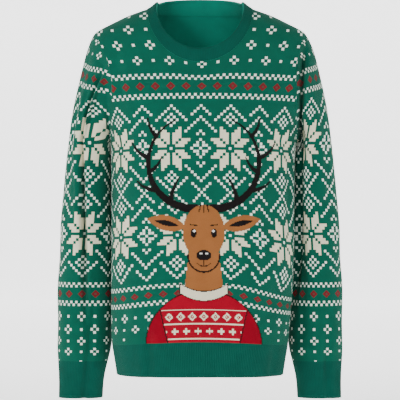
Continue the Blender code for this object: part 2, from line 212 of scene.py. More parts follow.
# Soft creases of the body: from one end to the other, how deep, how wide.
# Columns: side, x0, z0, x1, z1, depth, width.
CREASES = (
    (FORWARD, -0.150, -0.066, -0.137, -0.205, 0.0034, 0.011),
    (FORWARD, 0.152, -0.078, 0.141, -0.196, 0.0028, 0.012),
    (FORWARD, -0.160, -0.262, -0.112, -0.215, 0.0026, 0.010),
    (FORWARD, 0.161, -0.258, 0.120, -0.226, 0.0030, 0.009),
    (FORWARD, -0.118, -0.372, -0.109, -0.466, 0.0024, 0.013),
    (FORWARD, -0.134, -0.372, -0.127, -0.452, -0.0020, 0.011),
    (FORWARD, 0.126, -0.300, 0.119, -0.428, 0.0022, 0.013),
    (FORWARD, 0.141, -0.470, 0.112, -0.556, 0.0026, 0.012),
    (FORWARD, -0.145, -0.500, -0.124, -0.572, 0.0024, 0.010),
    (FORWARD, -0.091, -0.548, -0.089, -0.668, 0.0036, 0.008),
    (FORWARD, -0.104, -0.580, -0.102, -0.668, -0.0016, 0.008),
    (FORWARD, 0.132, -0.575, 0.126, -0.668, 0.0030, 0.008),
    (FORWARD, 0.030, -0.612, 0.034, -0.668, 0.0014, 0.012),
    (FORWARD, 0.083, -0.350, 0.085, -0.408, 0.0018, 0.004),
    (FORWARD, 0.1525, -0.245, 0.1530, -0.420, 0.0045, 0.007),
    (BACKWARD, -0.146, -0.080, -0.132, -0.230, 0.0040, 0.012),
    (BACKWARD, 0.148, -0.074, 0.136, -0.214, 0.0036, 0.013),
    (BACKWARD, -0.070, -0.330, 0.020, -0.372, 0.0030, 0.016),
    (BACKWARD, 0.098, -0.352, 0.010, -0.404, 0.0034, 0.014),
    (BACKWARD, -0.105, -0.440, -0.030, -0.470, 0.0028, 0.014),
    (BACKWARD, 0.112, -0.500, 0.104, -0.668, 0.0032, 0.010),
    (BACKWARD, -0.050, -0.560, -0.054, -0.668, 0.0026, 0.010),
)
CREASE_TAPER = 0.35        # share of a crease's length over which it fades in
UNEVEN = 0.00055           # slight waves everywhere in a hung knit

BODY_ROWS, ARMHOLE_ROWS, SHOULDER_ROWS = 84, 60, 14
SIDE_COLUMNS, CENTRE_COLUMNS = 36, 36

GREEN = dyed(0, 84, 66)
# Painted light: the inside's green is the yarn's green painted much lighter, for the light that
# falls in through the neck opening.
INSIDE_GREEN_PAINTED_LIGHTER = dyed(0, 130, 108)
WHITE = dyed(234, 244, 230)
CREAM = dyed(226, 221, 192)
BAND_RED = dyed(112, 34, 38)
DARK = dyed(22, 18, 18)
TAN = dyed(146, 92, 50)
RED = dyed(150, 0, 32)
DEEP_RED = dyed(132, 0, 26)
EYE_LIGHT = dyed(236, 232, 224)
STITCHES_ACROSS, STITCHES_DOWN = 3, 4      # in one charted square
STITCH_HEIGHT = 0.00045
FULL = 0.44                # how far a white square reaches from its middle
BODY_LAST_ROW, SLEEVE_LAST_ROW = 79, 87    # last charted row with flowers

# The reindeer, in millimetres from its own middle and up from its nose; one side
# is drawn and the other mirrors it.
FIGURE_X, FIGURE_Z = 6.6, -441.0
FIGURE_STITCH = (1.65, 1.25)
# Each antler is a beam bent to a round arc, with curved tines on both its sides.
BEAM_X, BEAM_UP, BEAM_RADIUS = 16.0, 164.0, 80.0
BEAM_FROM_DEG, BEAM_TO_DEG, BEAM_STROKES = -92, 66, 12
BEAM_ROOT, TIP = 7.5, 1.0              # half-widths
# Columns: place on the beam, heading and bend in degrees, length, half-width.
TINES = (
    (-58, 100, 22, 46, 4.8), (-36, 0, 52, 40, 4.6), (-12, 152, -44, 34, 4.2),
    (6, 18, 48, 40, 4.4), (34, 44, 44, 36, 3.8),
)
TINE_STROKES = 3
EAR_X, EAR_UP, EAR_TILT_DEG = 64.0, 60.0, 14.0
SHOULDER_UP, COAT_HALF, COAT_TALL = -149.0, 100.0, 92.0
COAT_EDGE = 1.8
ARM_FOOT, ARM_SLANT = 62, 0.22
MOTIF = 20.0               # from one knitted diamond to the next
DIAMOND_UP, CROSS_UP, LINES_UP = -102, -127.5, (-90, -114, -141)
NECK_FOOT, NECK_END, NECK_HALF_WIDE, NECK_TAPER = -66, 10, 27, 0.12
# Ovals go by their centre, half-width and half-height.
SKULL, MUZZLE = ((0, 44), 36, 47), ((0, 2), 27, 27)
NOSE, EYE = ((0, 4), 13, 9), ((18, 42), 5.0, 7.5)
GLINTS = (((16.5, 45.5), 1.8, 2.2), ((5, 7), 2.4, 1.6))
# Brow and forelock go from end to end, by x, height and half-width.
HAIRS = (((12, 55, 1.2), (24, 57, 0.7)), ((0, 92, 1.6), (0, 77, 0.6)),
         ((6, 90, 1.5), (8, 79, 0.6)))
COLLAR_UP, COLLAR_CURL, COLLAR_HALF, COLLAR_TALL = -66.5, 0.008, 40, 7.5


class Reckoned:
    """A value that a material works out; arithmetic on it adds its nodes."""

    def __init__(self, tree, socket):
        self.tree = tree
        self.socket = socket

    def node(self, kind, operation, values, output=0):
        node = self.tree.nodes.new(kind)
        node.operation = operation
        for place, value in enumerate(values):
            if isinstance(value, Reckoned):
                self.tree.links.new(value.socket, node.inputs[place])
            else:
                node.inputs[place].default_value = value
        return Reckoned(self.tree, node.outputs[output])

    def do(self, operation, *others):
        return self.node("ShaderNodeMath", operation, (self, *others))

    def __add__(self, other):
        return self.do("ADD", other)

    def __sub__(self, other):
        return self.do("SUBTRACT", other)

    def __rsub__(self, other):
        return self.node("ShaderNodeMath", "SUBTRACT", (other, self))

    def __mul__(self, other):
        return self.do("MULTIPLY", other)

    def __truediv__(self, other):
        return self.do("DIVIDE", other)

    def __mod__(self, other):
        return self.do("FLOORED_MODULO", other)

    def __abs__(self):
        return self.do("ABSOLUTE")

    def __lt__(self, other):
        return self.do("LESS_THAN", other)

    def __gt__(self, other):
        return self.do("GREATER_THAN", other)

    def __or__(self, other):
        return self.do("MAXIMUM", other)

    def least(self, other):
        return self.do("MINIMUM", other)

    def near(self, other, within=0.3):
        return self.do("COMPARE", other, within)

    def whole(self):
        return (self + 0.5).do("FLOOR")

    def vector(self, operation, *others, output=0):
        return self.node("ShaderNodeVectorMath", operation, (self, *others), output)

    def times(self, vector):
        """A fixed vector made longer or shorter by this value."""
        scaled = self.tree.nodes.new("ShaderNodeVectorMath")
        scaled.operation = "SCALE"
        scaled.inputs[0].default_value = vector
        self.tree.links.new(self.socket, scaled.inputs["Scale"])
        return Reckoned(self.tree, scaled.outputs[0])


def map_of(tree, name):
    """The two coordinates of a UV map, as values."""
    source = tree.nodes.new("ShaderNodeUVMap")
    source.uv_map = name
    split = tree.nodes.new("ShaderNodeSeparateXYZ")
    tree.links.new(source.outputs["UV"], split.inputs[0])
    return Reckoned(tree, split.outputs["X"]), Reckoned(tree, split.outputs["Y"])


def lay(ground, mask, colour):
    """Another yarn over the ground wherever mask is 1."""
    tree = mask.tree
    mix = tree.nodes.new("ShaderNodeMix")
    mix.data_type = "RGBA"
    tree.links.new(mask.socket, mix.inputs["Factor"])
    for socket, value in ((mix.inputs[6], ground), (mix.inputs[7], colour)):
        if isinstance(value, Reckoned):
            tree.links.new(value.socket, socket)
        else:
            socket.default_value = value
    return Reckoned(tree, mix.outputs[2])


def fair_isle(column, row, last_row):
    """The charted repeat; big stars stand on the tens, small ones on the twenties."""
    c, r = column.whole(), row.whole()
    from_middle = abs(r - 30)
    inside = from_middle < 30.5
    chequer = ((c + r) % 2).near(0) * (from_middle.near(33.5, 0.6) | from_middle.near(40.5, 0.6))
    white = chequer

    late = r > 30
    down = r - (late * 91 - 16)
    spacing = 5 - late
    step = (down / spacing).whole()
    off_row = abs(down - step * spacing)
    off_column = abs((c - (step % 2) * 5 + 5) % 10 - 5)
    ended = r > last_row + 2
    flower = (off_row + off_column).near(1) * (1 - ended)
    dot = off_row.near(0) * (off_column + ended * 5).near(5)
    white = white | ((flower | dot) * (from_middle > 43))

    f = 15 - abs(r % 30 - 15)
    a = abs(c % 20 - 10)
    marks = a.near(f) * (f < 5.5)
    marks = marks | abs(a + abs(f - 5) - 1).near(1)
    small = 10 - a
    b = 15 - f
    marks = marks | (a + b).near(0)
    marks = marks | small.near(f) * (f < 3.5)
    marks = marks | (small + 4).near(f) * (f < 9.5)
    marks = marks | (small + 9).near(f) * (f < 10.5)
    marks = marks | (small + b).near(3) | small.near(1) * b.near(1) | (small + b).near(0)
    white = white | marks * inside

    flat = b.near(2, 1.2) * (a - b).near(2, 1.2)
    tall = b.near(4.5, 2.6) * a.near(2, 1.2) * ((b - a).near(2.5, 1.7))
    cream = (flat | tall) * inside

    lozenge = abs((column + 2.5) % 5 - 2.5) + abs(abs(row - 30) - 37)
    filled = abs(column - c).near(0, FULL) * abs(row - r).near(0, FULL)
    colour = lay(GREEN, white * filled, WHITE)
    colour = lay(colour, cream, CREAM)
    return lay(colour, (lozenge < 1.5) - (lozenge < 0.5) * 0.5, BAND_RED)


def stroke(point, start, end):
    """How far a point lies outside a stroke; its ends are x, height, half-width."""
    first, last = Vector((*start[:2], 0)), Vector((*end[:2], 0))
    run = last - first
    away = point.vector("SUBTRACT", first)
    share = away.vector("DOT_PRODUCT", run / run.length_squared, output=1)
    share = share.do("MAXIMUM", 0.0).do("MINIMUM", 1.0)
    across = away.vector("SUBTRACT", share.times(run))
    return across.vector("LENGTH", output=1) - (share * (end[2] - start[2]) + start[2])


def oval(x, height, centre, half_width, half_height):
    """1 inside an oval, as a value that passes 1 at its edge."""
    across = (x - centre[0]) / half_width
    up = (height - centre[1]) / half_height
    return (across * across + up * up).do("SQRT")


def ear_leaf(x, height, reach, half):
    """1 inside a pointed leaf laid along the ear."""
    turn = math.radians(EAR_TILT_DEG)
    out, up = x - EAR_X, height - EAR_UP
    share = (out * math.cos(turn) + up * math.sin(turn)) / reach
    return abs(up * math.cos(turn) - out * math.sin(turn)) < (1 - share * share) * half


def on_beam(degrees):
    turn = math.radians(degrees)
    return BEAM_X + BEAM_RADIUS * math.cos(turn), BEAM_UP + BEAM_RADIUS * math.sin(turn)


def antler_strokes():
    """The two ends of each stroke of an antler, as x, height and half-width."""
    beam = []
    for step in range(BEAM_STROKES + 1):
        share = step / BEAM_STROKES
        place = on_beam(BEAM_FROM_DEG + share * (BEAM_TO_DEG - BEAM_FROM_DEG))
        beam.append((*place, BEAM_ROOT + share * (TIP - BEAM_ROOT)))
    branches = [beam]
    for beam_deg, heading_deg, bend_deg, length, half_width in TINES:
        x, height = on_beam(beam_deg)
        tine = [(x, height, half_width)]
        for step in range(TINE_STROKES):
            heading = math.radians(heading_deg + bend_deg * (step + 0.5) / TINE_STROKES)
            x += length / TINE_STROKES * math.cos(heading)
            height += length / TINE_STROKES * math.sin(heading)
            share = (step + 1) / TINE_STROKES
            tine.append((x, height, half_width + share * (TIP - half_width)))
        branches.append(tine)
    return [ends for branch in branches for ends in zip(branch, branch[1:])]


def reindeer(ground, across, up):
    """The figure laid over the ground, stitch by stitch."""
    wide, tall = FIGURE_STITCH
    v = ((up - FIGURE_Z) / tall).whole() * tall
    x = abs(((across - FIGURE_X) / wide).whole() * wide)
    tree = x.tree
    join = tree.nodes.new("ShaderNodeCombineXYZ")
    tree.links.new(x.socket, join.inputs["X"])
    tree.links.new(v.socket, join.inputs["Y"])
    point = Reckoned(tree, join.outputs[0])

    foot = (0, SHOULDER_UP)
    edge = oval(x, v, foot, COAT_HALF + COAT_EDGE, COAT_TALL + COAT_EDGE) < 1
    colour = lay(ground, edge * (v > SHOULDER_UP), DARK)
    coat = (oval(x, v, foot, COAT_HALF, COAT_TALL) < 1) * (v > SHOULDER_UP)
    colour = lay(colour, coat, RED)
    arm_line = (v - SHOULDER_UP) * ARM_SLANT + ARM_FOOT
    colour = lay(colour, coat * (x > arm_line), DEEP_RED)
    colour = lay(colour, coat * (x - arm_line).near(0, 1.0), DARK)
    aside = abs((x / MOTIF + 0.5) % 1 - 0.5) * MOTIF
    halfway = MOTIF / 2 - aside
    diamond = aside + abs(v - DIAMOND_UP)
    down = abs(v - CROSS_UP)
    pattern = (diamond < 7.5) - (diamond < 3.8) + (diamond < 1.4)
    pattern = pattern | (halfway < 1.4) * (down < 6) | (down < 1.4) * (halfway < 6)
    for height in LINES_UP:
        pattern = pattern | v.near(height, 1.2)
    colour = lay(colour, pattern * coat * (x < arm_line - 1.5), CREAM)

    strokes = antler_strokes()
    antler = stroke(point, *strokes[0])
    for ends in strokes[1:]:
        antler = antler.least(stroke(point, *ends))
    colour = lay(colour, antler < 0, DARK)

    neck = (x < NECK_HALF_WIDE - v * NECK_TAPER) * (v < NECK_END) * (v > NECK_FOOT)
    head = (oval(x, v, *SKULL) < 1) | (oval(x, v, *MUZZLE) < 1)
    colour = lay(colour, neck | head | ear_leaf(x, v, 36, 13), TAN)
    marks = ear_leaf(x, v, 22, 4.5)
    marks = marks | oval(x, v, *MUZZLE).near(1, 0.05) * (v < 6)
    marks = marks | (x < 1.2) * (v + 9).near(0, 5)
    marks = marks | (v + 15 - x * x * 0.035).near(0, 0.9) * (x < 13)
    for spot in (NOSE, EYE):
        marks = marks | (oval(x, v, *spot) < 1)
    for start, end in HAIRS:
        marks = marks | (stroke(point, start, end) < 0)
    colour = lay(colour, marks, DARK)
    for glint in GLINTS:
        colour = lay(colour, oval(x, v, *glint) < 1, EYE_LIGHT)
    collar = v - COLLAR_UP - x * x * COLLAR_CURL
    for edge, yarn in ((1.5, DARK), (0, CREAM)):
        band = collar.near(0, COLLAR_TALL + edge) * (x < COLLAR_HALF + edge)
        colour = lay(colour, band, yarn)
    return colour


def uneven(tree, scale, detail):
    """Soft unevenness of the yarn, between 0 and 1."""
    place = tree.nodes.new("ShaderNodeTexCoord")
    noise = tree.nodes.new("ShaderNodeTexNoise")
    set_inputs(noise, Scale=scale, Detail=detail)
    tree.links.new(place.outputs["Object"], noise.inputs["Vector"])
    return Reckoned(tree, noise.outputs[0])


def wool(name, paint, stitches=(STITCHES_ACROSS, STITCHES_DOWN), height=STITCH_HEIGHT):
    """Knitted wool. paint(tree, column, row) gives the yarn's colour; the map
    counts charted squares, each so many stitches across and down."""
    material = bpy.data.materials.new(name)
    material.use_nodes = True
    tree = material.node_tree
    shade = tree.nodes["Principled BSDF"]
    column, row = map_of(tree, "knit")
    colour = paint(tree, column, row)

    along = abs((column * stitches[0]) % 1 - 0.5) * 2
    slanted = row * stitches[1] + along * 0.55
    leg = 1 - (along * 2 - 1) * (along * 2 - 1)
    loop = (slanted * (2 * math.pi)).do("COSINE") * 0.5 + 0.5
    relief = leg * loop

    fibre = uneven(tree, 1400, 3)
    cloud = uneven(tree, 55, 4)

    # Painted shade: the stitch relief darkens the colour down between the stitch legs and loops;
    # the fibre and cloud noise are the yarn's own uneven tone.
    depth = relief * 0.30 + fibre * 0.34 + cloud * 0.30 + 0.53
    tone_with_stitch_shade = tree.nodes.new("ShaderNodeVectorMath")
    tone_with_stitch_shade.operation = "SCALE"
    if isinstance(colour, Reckoned):
        tree.links.new(colour.socket, tone_with_stitch_shade.inputs[0])
    else:
        tone_with_stitch_shade.inputs[0].default_value = colour[:3]
    tree.links.new(depth.socket, tone_with_stitch_shade.inputs["Scale"])
    tree.links.new(tone_with_stitch_shade.outputs[0], shade.inputs["Base Color"])

    bump = tree.nodes.new("ShaderNodeBump")
    set_inputs(bump, Strength=0.7, Distance=height)
    tree.links.new((relief + fibre * 0.6).socket, bump.inputs["Height"])
    tree.links.new(bump.outputs["Normal"], shade.inputs["Normal"])
    set_inputs(shade, Roughness=0.92, Specular_IOR_Level=0.08, Sheen_Weight=0.05,
               Sheen_Roughness=0.45, Sheen_Tint=(0.80, 1.0, 0.92, 1))
    return material


def figured(tree, column, row):
    across, up = map_of(tree, "figure")
    return reindeer(fair_isle(column, row, BODY_LAST_ROW), across, up)


# Colour of the wrong side: the yarn's green with painted light from the neck opening in it.
def painted_light_inside(tree, column, row):
    return INSIDE_GREEN_PAINTED_LIGHTER


def read(table, columns, name, z):
    """A smooth value of one column at level z, through the table's rows."""
    column = columns.index(name)
    levels = np.array([row[0] for row in table])[::-1]
    values = np.array([row[column] for row in table])[::-1]
    slopes = np.gradient(values, levels)
    z = np.clip(z, levels[0], levels[-1])
    low = np.clip(np.searchsorted(levels, z) - 1, 0, len(levels) - 2)
    span = levels[low + 1] - levels[low]
    t = (z - levels[low]) / span
    start = (1 + 2 * t) * (1 - t) ** 2 * values[low]
    start = start + t * (1 - t) ** 2 * span * slopes[low]
    end = t * t * (3 - 2 * t) * values[low + 1]
    return start + end + t * t * (t - 1) * span * slopes[low + 1]


def body(name, z):
    return read(BODY, BODY_COLUMNS, name, z)


def depth_of(side, z):
    return body("front_depth" if side == FORWARD else "back_depth", z)


def body_normal(points, side):
    """Outward direction of the body's surface at each point."""
    x, y, z = np.atleast_2d(np.asarray(points, float)).T
    step = 0.001
    width, depth = body("half_width", z), depth_of(side, z)
    width_slope = (body("half_width", z + step) - body("half_width", z - step)) / (2 * step)
    depth_slope = (depth_of(side, z + step) - depth_of(side, z - step)) / (2 * step)
    across = np.abs(x / width) ** (SQUARENESS - 1) / width
    along = np.abs(y / depth) ** (SQUARENESS - 1) / depth
    up = -across * np.abs(x) / width * width_slope - along * np.abs(y) / depth * depth_slope
    normals = np.stack([np.copysign(across, x), side * along, up], axis=1)
    return normals / np.linalg.norm(normals, axis=1)[:, None]


def body_arc(z, side, count=400):
    """Distances and points along a quarter section, centre to side."""
    turn = np.linspace(0, math.pi / 2, count)
    x = body("half_width", z) * np.sin(turn) ** (2 / SQUARENESS)
    y = depth_of(side, z) * np.abs(np.cos(turn)) ** (2 / SQUARENESS)
    steps = np.hypot(np.diff(x), np.diff(y))
    return np.concatenate([[0], np.cumsum(steps)]), x, side * y


def body_point(x, z, side):
    width = body("half_width", z)
    inside = max(0.0, 1 - min(1.0, abs(x) / width) ** SQUARENESS)
    return np.array([x, side * depth_of(side, z) * inside ** (1 / SQUARENESS), z])


def edge_half_width(z):
    if ARMPIT_Z < z < SHOULDER_Z:
        return float(read(ARMHOLE, ARMHOLE_COLUMNS, "half_width", z))
    return float(body("half_width", z))


def neckline_z(x):
    return -NECK_DROP * math.sqrt(max(0.0, 1 - (x / NECK_HALF) ** 2))


def neckline_x(z):
    return NECK_HALF * math.sqrt(max(0.0, 1 - (z / NECK_DROP) ** 2))


def armhole_levels(rows=ARMHOLE_ROWS):
    turn = np.linspace(0, math.pi, rows + 1)[1:]
    levels = list(ARMPIT_Z + (SHOULDER_Z - ARMPIT_Z) * (1 - np.cos(turn)) / 2)
    corner = neckline_z(NECK_CORNER)
    levels[int(np.argmin([abs(z - corner) for z in levels]))] = corner
    return levels


def panel_levels():
    low = list(np.linspace(HEM_TOP_Z + SEAM_GAP, ARMPIT_Z, BODY_ROWS))
    high = list(np.linspace(SHOULDER_Z, NECK_TIP_Z, SHOULDER_ROWS + 1)[1:])
    return low + armhole_levels() + high


def hang(points):
    """How far each point hangs to the right."""
    x, z = points[:, 0], points[:, 2]
    far = np.where(x > 0, read(HANG, HANG_COLUMNS, "right", z),
                   read(HANG, HANG_COLUMNS, "left", z))
    return far * np.exp(-((np.abs(x) - HANG_AT) / HANG_WIDTH) ** 2)


def knit_place(reach, points):
    """Charted column and row of each point; reach is its way from the centre line."""
    x, z = points[:, 0], points[:, 2]
    share = (x / body("half_width", z)) ** 2
    sag = read(SAG, SAG_COLUMNS, "sag", z)
    dip = np.maximum(ROW_DIP - sag, 0) * share * np.clip((-0.02 - z) / 0.12, 0, 1)
    pull = NECK_PULL * np.exp(-(x / PULL_WIDTH) ** 2) * np.clip((z + 0.150) / 0.045, 0, 1)
    beyond = FALL_EASE * np.log1p(np.exp((np.abs(x) - FALL_FROM) / FALL_EASE))
    steep = np.where(x > 0, read(FALL, FALL_COLUMNS, "right", z),
                     read(FALL, FALL_COLUMNS, "left", z))
    row = read(ROWS, ROW_COLUMNS, "row", z + dip + pull + steep * beyond)
    pitch, crowding, drift = (read(PITCH, PITCH_COLUMNS, name, z) for name in PITCH_COLUMNS[1:])
    reach = reach + CHART_HANG * hang(points) - drift
    return np.stack([reach / pitch + crowding * np.tanh(reach / CROWD_REACH), row], axis=1)


def creased(points, normals, side):
    """Points pressed in along the creases and hung lower at the sides."""
    x, z = points[:, 0], points[:, 2]
    press = UNEVEN * (np.sin(31 * x + 17 * z + side) + np.sin(47 * z - 23 * x + 2 * side))
    for crease_side, x0, z0, x1, z1, depth, width in CREASES:
        if crease_side != side:
            continue
        dx, dz = x1 - x0, z1 - z0
        t = ((x - x0) * dx + (z - z0) * dz) / (dx * dx + dz * dz)
        away = np.hypot(x - x0 - np.clip(t, 0, 1) * dx, z - z0 - np.clip(t, 0, 1) * dz)
        fade = np.clip(np.minimum(t, 1 - t) / CREASE_TAPER, 0, 1)
        press = press + depth * fade * fade * (3 - 2 * fade) * np.exp(-(away / width) ** 2)
    seam = np.clip((body("half_width", z) - np.abs(x)) / 0.012, 0, 1)
    seam = seam * np.clip((-0.004 - z) / 0.04, 0, 1)
    sag = read(SAG, SAG_COLUMNS, "sag", z) * (x / body("half_width", z)) ** 2
    moved = points - normals * (press * seam)[:, None]
    moved[:, 2] -= sag
    return moved


def grid_quads(rows, columns, closed, turned):
    """Quads of a grid whose points run row by row."""
    quads = []
    for row in range(rows - 1):
        for column in range(columns if closed else columns - 1):
            after = (column + 1) % columns
            quad = (row * columns + column, row * columns + after,
                    (row + 1) * columns + after, (row + 1) * columns + column)
            quads.append(tuple(reversed(quad)) if turned else quad)
    return quads


def knit_wall(name, points, normals, quads, thickness, materials, maps):
    """A closed wall of cloth. materials are those of the right and the wrong side;
    maps holds, for each UV map, the places of every quad's four corners."""
    count = len(points)
    points = points + np.outer(hang(points), (1, 0, 0))
    vertices = np.vstack([points, points - normals * thickness])
    faces = [tuple(quad) for quad in quads]
    faces += [tuple(i + count for i in reversed(quad)) for quad in quads]
    owner = {}
    for index, quad in enumerate(quads):
        for corner in range(4):
            owner[quad[corner], quad[(corner + 1) % 4]] = (index, corner)
    rims = []
    rim_corners = []
    for (a, b), (index, corner) in sorted(owner.items()):
        if (b, a) not in owner:
            rims.append((b, a, a + count, b + count))
            after = (corner + 1) % 4
            rim_corners.append([(index, after), (index, corner),
                                (index, corner), (index, after)])
    mesh = bpy.data.meshes.new(name)
    mesh.from_pydata(vertices.tolist(), [], faces + rims)
    kind = np.repeat([0, 1, 2], [len(quads), len(quads), len(rims)])
    mesh.polygons.foreach_set("material_index", (kind > 0).astype(np.int32))
    quad_of, corner_of = np.array(rim_corners).reshape(-1, 2).T
    for map_name, corners in maps.items():
        corners = np.asarray(corners, float)
        uv = np.vstack([corners.reshape(-1, 2), corners[:, ::-1].reshape(-1, 2),
                        corners[quad_of, corner_of]])
        if map_name == "OFBake":
            uv = (uv - uv.min(axis=0)) / (uv.max(axis=0) - uv.min(axis=0))
            low = np.repeat(np.array([0.32, 0.01, 0.297])[kind], 4)
            tall = np.repeat(np.array([0.67, 0.28, 0.012])[kind], 4)
            uv = np.stack([0.005 + 0.99 * uv[:, 0], low + tall * uv[:, 1]], axis=1)
        layer = mesh.uv_layers.new(name=map_name)
        layer.data.foreach_set("uv", uv.astype(np.float32).ravel())
    for material in materials:
        mesh.materials.append(material)
    mesh.shade_smooth()
    mesh.set_sharp_from_angle(angle=math.radians(60))
    piece = bpy.data.objects.new(name, mesh)
    bpy.context.scene.collection.objects.link(piece)
    return piece


def stand_in(piece):
    """The piece hangs on the root body in place of the CAD node of its name."""
    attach(piece, "root")
    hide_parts(piece.name.removesuffix("_cloth"))


def front_grid():
    """Points, quads and reach of the front; its rows leave the neckline open.
    Also the points of the neckline, right to left."""
    corner_z = neckline_z(NECK_CORNER)
    levels = panel_levels()
    nearest = levels.index(corner_z)
    points, reaches, quads, rows = [], [], [], []
    right, left = [], []
    for level, z in enumerate(levels):
        arc, xs, ys = body_arc(z, FORWARD)
        end = np.interp(edge_half_width(z), xs, arc) - SEAM_GAP / 2
        inner_x = NECK_CORNER if level <= nearest else neckline_x(z)
        inner = min(np.interp(inner_x, xs, arc), end - SEAM_GAP)
        side = np.linspace(end, inner, SIDE_COLUMNS + 1)
        centre = np.linspace(inner, -inner, CENTRE_COLUMNS + 1)[1:-1]
        reach = np.concatenate([side, centre if level <= nearest else [], -side[::-1]])
        weight = np.clip((z - NECK_SAG_Z) / (corner_z - NECK_SAG_Z), 0, 1)
        row = []
        for s in reach:
            x = math.copysign(np.interp(abs(s), arc, xs), s)
            drop = 0.0
            if level <= nearest and abs(x) < NECK_CORNER:
                drop = weight * (corner_z - neckline_z(x))
            row.append(len(points))
            if drop:
                points.append(body_point(x, z - drop, FORWARD))
            else:
                points.append(np.array([x, np.interp(abs(s), arc, ys), z]))
            reaches.append(s)
        rows.append(row)
        if level == nearest:
            floor = row[SIDE_COLUMNS:-SIDE_COLUMNS]
        elif level > nearest:
            right.append(row[SIDE_COLUMNS])
            left.append(row[SIDE_COLUMNS + 1])
    strip = SIDE_COLUMNS + 1
    for low, high in zip(rows, rows[1:]):
        runs = [(low, high)]
        if len(low) != len(high) or len(low) == 2 * strip:
            runs = [(low[:strip], high[:strip]), (low[-strip:], high[-strip:])]
        for lower, upper in runs:
            for column in range(len(lower) - 1):
                quads.append((lower[column + 1], lower[column],
                              upper[column], upper[column + 1]))
    return np.array(points), quads, np.array(reaches), right[::-1] + floor + left


def panel_maps(points, reaches, quads):
    """Corner places of a panel's quads in its three maps."""
    corners = np.array(quads)
    flat = np.stack([reaches, points[:, 2]], axis=1)
    return {"OFBake": flat[corners], "knit": knit_place(reaches, points)[corners],
            "figure": np.stack([points[:, 0] + hang(points), points[:, 2]], axis=1)[corners] * 1000}


jacquard_front = wool("jacquard_front", figured)
# The wrong side of every knitted piece, its green painted lighter as painted light.
inside_knit_painted_light = wool("inside_knit_painted_light", painted_light_inside)
points, quads, reaches, neckline = front_grid()
normals = body_normal(points, FORWARD)
maps = panel_maps(points, reaches, quads)
points = creased(points, normals, FORWARD)
front_neckline = points[neckline]
front_panel = knit_wall("front_panel_cloth", points, normals, quads, JERSEY,
                        (jacquard_front, inside_knit_painted_light), maps)
stand_in(front_panel)

# ==== Back panel ==========================================================
# The same knit with the stars carried right across, cut to a shallow neck; it
# is joined to the front down both sides and along the shoulders.
def across_body(z, side, places, half_width):
    """Points of one row at level z and their reach; places run from -1 to 1."""
    arc, xs, ys = body_arc(z, side)
    reach = np.abs(places) * (np.interp(half_width, xs, arc) - SEAM_GAP / 2)
    x = np.sign(places) * np.interp(reach, arc, xs)
    points = np.stack([x, np.interp(reach, arc, ys), np.full_like(x, z)], axis=1)
    return points, np.sign(places) * reach


def back_grid():
    levels = panel_levels()
    places = np.linspace(-1, 1, 2 * SIDE_COLUMNS + CENTRE_COLUMNS + 1)
    points, reaches = [], []
    for z in levels:
        row, reach = across_body(z, BACKWARD, places, edge_half_width(z))
        points.append(row)
        reaches.append(reach)
    quads = grid_quads(len(levels), len(places), closed=False, turned=True)
    return np.vstack(points), quads, np.concatenate(reaches), len(places)


def repeat_body(tree, column, row):
    return fair_isle(column, row, BODY_LAST_ROW)


jacquard_back = wool("jacquard_back", repeat_body)
points, quads, reaches, width = back_grid()
normals = body_normal(points, BACKWARD)
maps = panel_maps(points, reaches, quads)
maps.pop("figure")
points = creased(points, normals, BACKWARD)
back_neckline = points[-width:]
back_panel = knit_wall("back_panel_cloth", points, normals, quads, JERSEY,
                       (jacquard_back, inside_knit_painted_light), maps)
stand_in(back_panel)

# ==== Neckband ============================================================
# A rib knitted double and folded to the inside, linked to the neckline all
# round; it stands up on the back and leans inwards at the front.
NECK_RIB = 0.0034
BAND_WIDTH, BAND_LIFT, BAND_CENTRE_Y = 0.0225, 0.10, 0.005
BAND_LEAN_DEG = {"side": 27.0, "front": 74.0, "back": 68.0}
BAND_TRUST, BAND_EASING = 6.0, 90
TOP_EASING = 420           # rounds of evening out the band's folded edge
BACK_RISE = 0.0060         # how much higher the band stands at the back
BAND_ROWS = 10
BAND_STEPS = 880
RIB_PITCH, RIB_RELIEF = 0.0031, 0.00022
RIB_ROW = 0.0052           # height of a charted square of the rib
# The second green is painted shade for the grooves between the ribs.
RIB_GREEN, GROOVE_SHADE_GREEN = dyed(0, 76, 63), dyed(0, 54, 45)
ROLL = 0.0012              # how far the folded edge rounds over


def rib_with_groove_shade(tree, column, row):
    """Painted shade: darker down in the grooves between the ribs."""
    groove_shade = ((column * (2 * math.pi)).do("COSINE") * -0.5 + 0.5) * 0.30
    return lay(RIB_GREEN, groove_shade, GROOVE_SHADE_GREEN)


def spread_evenly(ring, count):
    """Points at even steps round a closed ring, and the way travelled to each."""
    closed = np.vstack([ring, ring[:1]])
    way = np.concatenate([[0], np.cumsum(np.linalg.norm(np.diff(closed, axis=0), axis=1))])
    reach = np.linspace(0, way[-1], count, endpoint=False)
    even = np.stack([np.interp(reach, way, closed[:, axis]) for axis in range(3)], axis=1)
    return even, reach, way[-1]


def band_lean(seam):
    """The way the neckband stands at each point: inwards and up."""
    inward = np.array([0, BAND_CENTRE_Y, 0]) - seam * np.array([1, 1, 0])
    inward /= np.linalg.norm(inward, axis=1)[:, None]
    side = BAND_LEAN_DEG["side"]
    end = np.where(inward[:, 1] > 0, BAND_LEAN_DEG["front"], BAND_LEAN_DEG["back"])
    lean = np.radians(side + (end - side) * np.abs(inward[:, 1]) ** 1.5)
    up = np.array([0, 0, 1])
    return inward * np.cos(lean)[:, None] + up * np.sin(lean)[:, None]


def vertex_normals(points, quads):
    corners = np.array(quads)
    a, b, c, d = (points[corners[:, i]] for i in range(4))
    face = np.cross(c - a, d - b)
    normals = np.zeros_like(points)
    for i in range(4):
        np.add.at(normals, corners[:, i], face)
    return normals / np.linalg.norm(normals, axis=1)[:, None]


